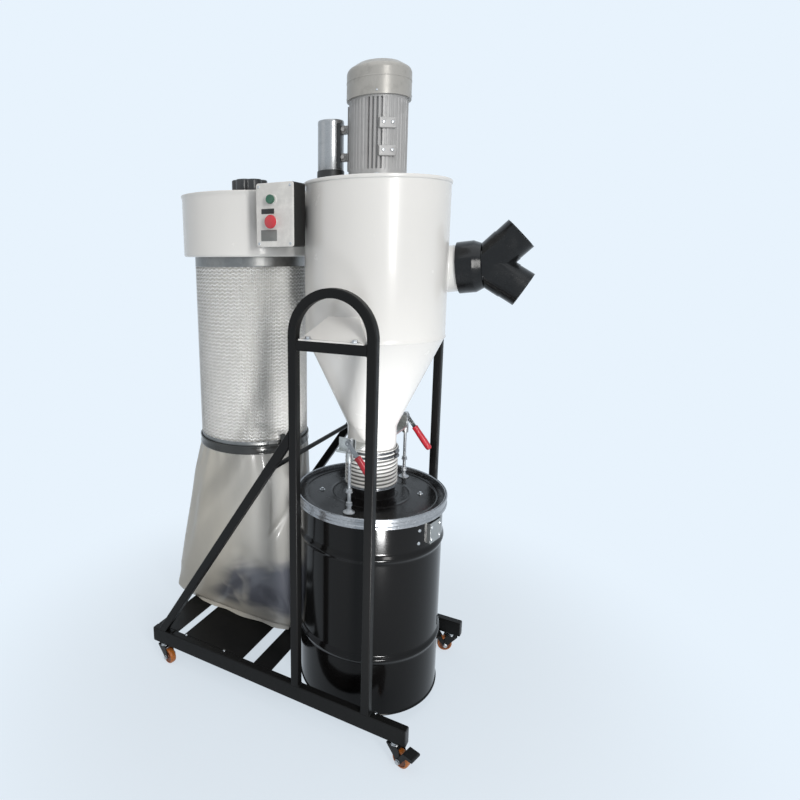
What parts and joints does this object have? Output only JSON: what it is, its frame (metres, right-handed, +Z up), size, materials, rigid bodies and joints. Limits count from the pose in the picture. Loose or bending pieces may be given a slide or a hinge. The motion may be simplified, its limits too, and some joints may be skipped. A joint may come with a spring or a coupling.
{
  "type": "portable cyclone dust collector",
  "caption": "Portable two-stage dust collector: motor-driven cyclone over a lidded drum, with a filter cartridge and dust bag on a wheeled frame.",
  "frame": {"origin": "on the floor, under the shared axis of the cyclone and the drum", "axes": "+X along the frame towards the drum end, +Y to the rear, +Z up"},
  "size_m": [1.1515, 0.5948, 1.848],
  "materials": {
    "frame_black": "semi-gloss powder coat",
    "caster_black": "satin black",
    "zinc": "bright zinc plate",
    "wheel_amber": "satin polyurethane",
    "drum_wheel": "satin",
    "cyclone_white": "gloss powder coat",
    "fitting_black": "gloss moulding",
    "motor_silver": "satin cast and painted",
    "can_silver": "smooth drawn can",
    "fittings_black": "satin",
    "sleeve_steel": "expanded sheet, dull",
    "pleat_white": "pleated filter paper",
    "bag_film": "thin translucent film",
    "dust_tan": "fine grey-brown wood dust",
    "box_dark": "fine texture",
    "panel_grey": "satin",
    "button_green": "gloss",
    "button_red": "gloss",
    "drum_black": "gloss",
    "lid_grey": "satin",
    "hose_white": "satin",
    "grip_red": "dipped vinyl"
  },
  "bodies": {
    "machine": {"bag_tray": "frame_black", "barrel": "cyclone_white", "barrel_top": "cyclone_white", "braces": "frame_black", "capacitor": "can_silver", "capacitor_fittings": "fittings_black", "caster_seats": "zinc", "clamp_band": "zinc", "collected_dust": "dust_tan", "cone": "cyclone_white", "control_box": "box_dark", "control_panel": "panel_grey", "crossbars": "frame_black", "drum_caster_housings": "caster_black", "drum_caster_wheels": "drum_wheel", "drum_floor": "drum_black", "drum_handle": "zinc", "drum_shell": "drum_black", "drum_stop": "frame_black", "dust_bag": "bag_film", "end_member": "frame_black", "fan_cover": "motor_silver", "filter_duct": "cyclone_white", "filter_head": "cyclone_white", "filter_sleeve": "sleeve_steel", "front_beam": "frame_black", "front_hoop": "frame_black", "head_top": "cyclone_white", "hose": "hose_white", "inlet_stub": "cyclone_white", "lifter_brackets": "zinc", "motor_body": "motor_silver", "motor_flange": "motor_silver", "pleated_element": "pleat_white", "rear_beam": "frame_black", "rear_hoop": "frame_black", "support_brackets": "cyclone_white", "tie_rod": "frame_black", "y_fitting": "fitting_black"},
    "front_left_swivel": {"front_left_fork": "caster_black"},
    "front_left_roller": {"front_left_wheel": "wheel_amber"},
    "rear_left_swivel": {"rear_left_fork": "caster_black"},
    "rear_left_roller": {"rear_left_wheel": "wheel_amber"},
    "front_right_swivel": {"front_right_fork": "caster_black"},
    "front_right_roller": {"front_right_wheel": "wheel_amber"},
    "front_right_brake": {"front_right_pedal": "caster_black"},
    "rear_right_swivel": {"rear_right_fork": "caster_black"},
    "rear_right_roller": {"rear_right_wheel": "wheel_amber"},
    "rear_right_brake": {"rear_right_pedal": "caster_black"},
    "lid": {"drum_lid": "lid_grey", "lid_ring": "zinc", "lifter_rods": "zinc"},
    "front_handle": {"front_handle_arm": "zinc", "front_handle_grip": "grip_red"},
    "rear_handle": {"rear_handle_arm": "zinc", "rear_handle_grip": "grip_red"},
    "cleaning_knob": {"cleaning_knob": "fitting_black"},
    "start_button": {"start_button": "button_green"},
    "stop_button": {"stop_button": "button_red"}
  },
  "joints": [
    {"name": "front_left_swivel_turn", "type": "hinge", "parent": "machine", "child": "front_left_swivel", "pos_m": [-0.632, -0.2675, 0.06], "axis": [0, 0, 1], "continuous": true},
    {"name": "front_left_roll", "type": "hinge", "parent": "front_left_swivel", "child": "front_left_roller", "pos_m": [-0.61048, -0.27207, 0.025], "axis": [0.2079, 0.9781, 0], "continuous": true},
    {"name": "rear_left_swivel_turn", "type": "hinge", "parent": "machine", "child": "rear_left_swivel", "pos_m": [-0.632, 0.2675, 0.06], "axis": [0, 0, 1], "continuous": true},
    {"name": "rear_left_roll", "type": "hinge", "parent": "rear_left_swivel", "child": "rear_left_roller", "pos_m": [-0.61065, 0.27282, 0.025], "axis": [-0.2419, 0.9703, 0], "continuous": true},
    {"name": "front_right_swivel_turn", "type": "hinge", "parent": "machine", "child": "front_right_swivel", "pos_m": [0.2, -0.2675, 0.06], "axis": [0, 0, 1], "continuous": true},
    {"name": "front_right_roll", "type": "hinge", "parent": "front_right_swivel", "child": "front_right_roller", "pos_m": [0.22115, -0.27356, 0.025], "axis": [0.2756, 0.9613, 0], "continuous": true},
    {"name": "front_right_brake_press", "type": "hinge", "parent": "front_right_swivel", "child": "front_right_brake", "pos_m": [0.22115, -0.27356, 0.025], "axis": [0.2756, 0.9613, 0], "range_deg": [0, 12]},
    {"name": "rear_right_swivel_turn", "type": "hinge", "parent": "machine", "child": "rear_right_swivel", "pos_m": [0.2, 0.2675, 0.06], "axis": [0, 0, 1], "continuous": true},
    {"name": "rear_right_roll", "type": "hinge", "parent": "rear_right_swivel", "child": "rear_right_roller", "pos_m": [0.18006, 0.2582, 0.025], "axis": [0.4226, -0.9063, 0], "continuous": true},
    {"name": "rear_right_brake_press", "type": "hinge", "parent": "rear_right_swivel", "child": "rear_right_brake", "pos_m": [0.18006, 0.2582, 0.025], "axis": [0.4226, -0.9063, 0], "range_deg": [0, 12]},
    {"name": "lid_lift", "type": "slide", "parent": "machine", "child": "lid", "axis": [0, 0, 1], "range_m": [0, 0.03], "deforming": ["hose"]},
    {"name": "front_handle_swing", "type": "hinge", "parent": "lid", "child": "front_handle", "pos_m": [0.006, -0.168, 0.852], "axis": [0, -1, 0], "range_deg": [0, 90]},
    {"name": "rear_handle_swing", "type": "hinge", "parent": "lid", "child": "rear_handle", "pos_m": [0.044, 0.168, 0.852], "axis": [0, -1, 0], "range_deg": [0, 90]},
    {"name": "cleaning_turn", "type": "hinge", "parent": "machine", "child": "cleaning_knob", "pos_m": [-0.426, 0, 1.545], "axis": [0, 0, 1], "continuous": true},
    {"name": "start_button_press", "type": "slide", "parent": "machine", "child": "start_button", "axis": [0, 1, 0], "range_m": [0, 0.004], "stiffness_N_per_m": 800, "springref_m": -0.002},
    {"name": "stop_button_press", "type": "slide", "parent": "machine", "child": "stop_button", "axis": [0, 1, 0], "range_m": [0, 0.004], "stiffness_N_per_m": 800, "springref_m": -0.002}
  ],
  "couplings": [
    {"joint": "front_handle_swing", "follows": "lid_lift", "rad_per_m": 52.36},
    {"joint": "rear_handle_swing", "follows": "lid_lift", "rad_per_m": 52.36}
  ]
}
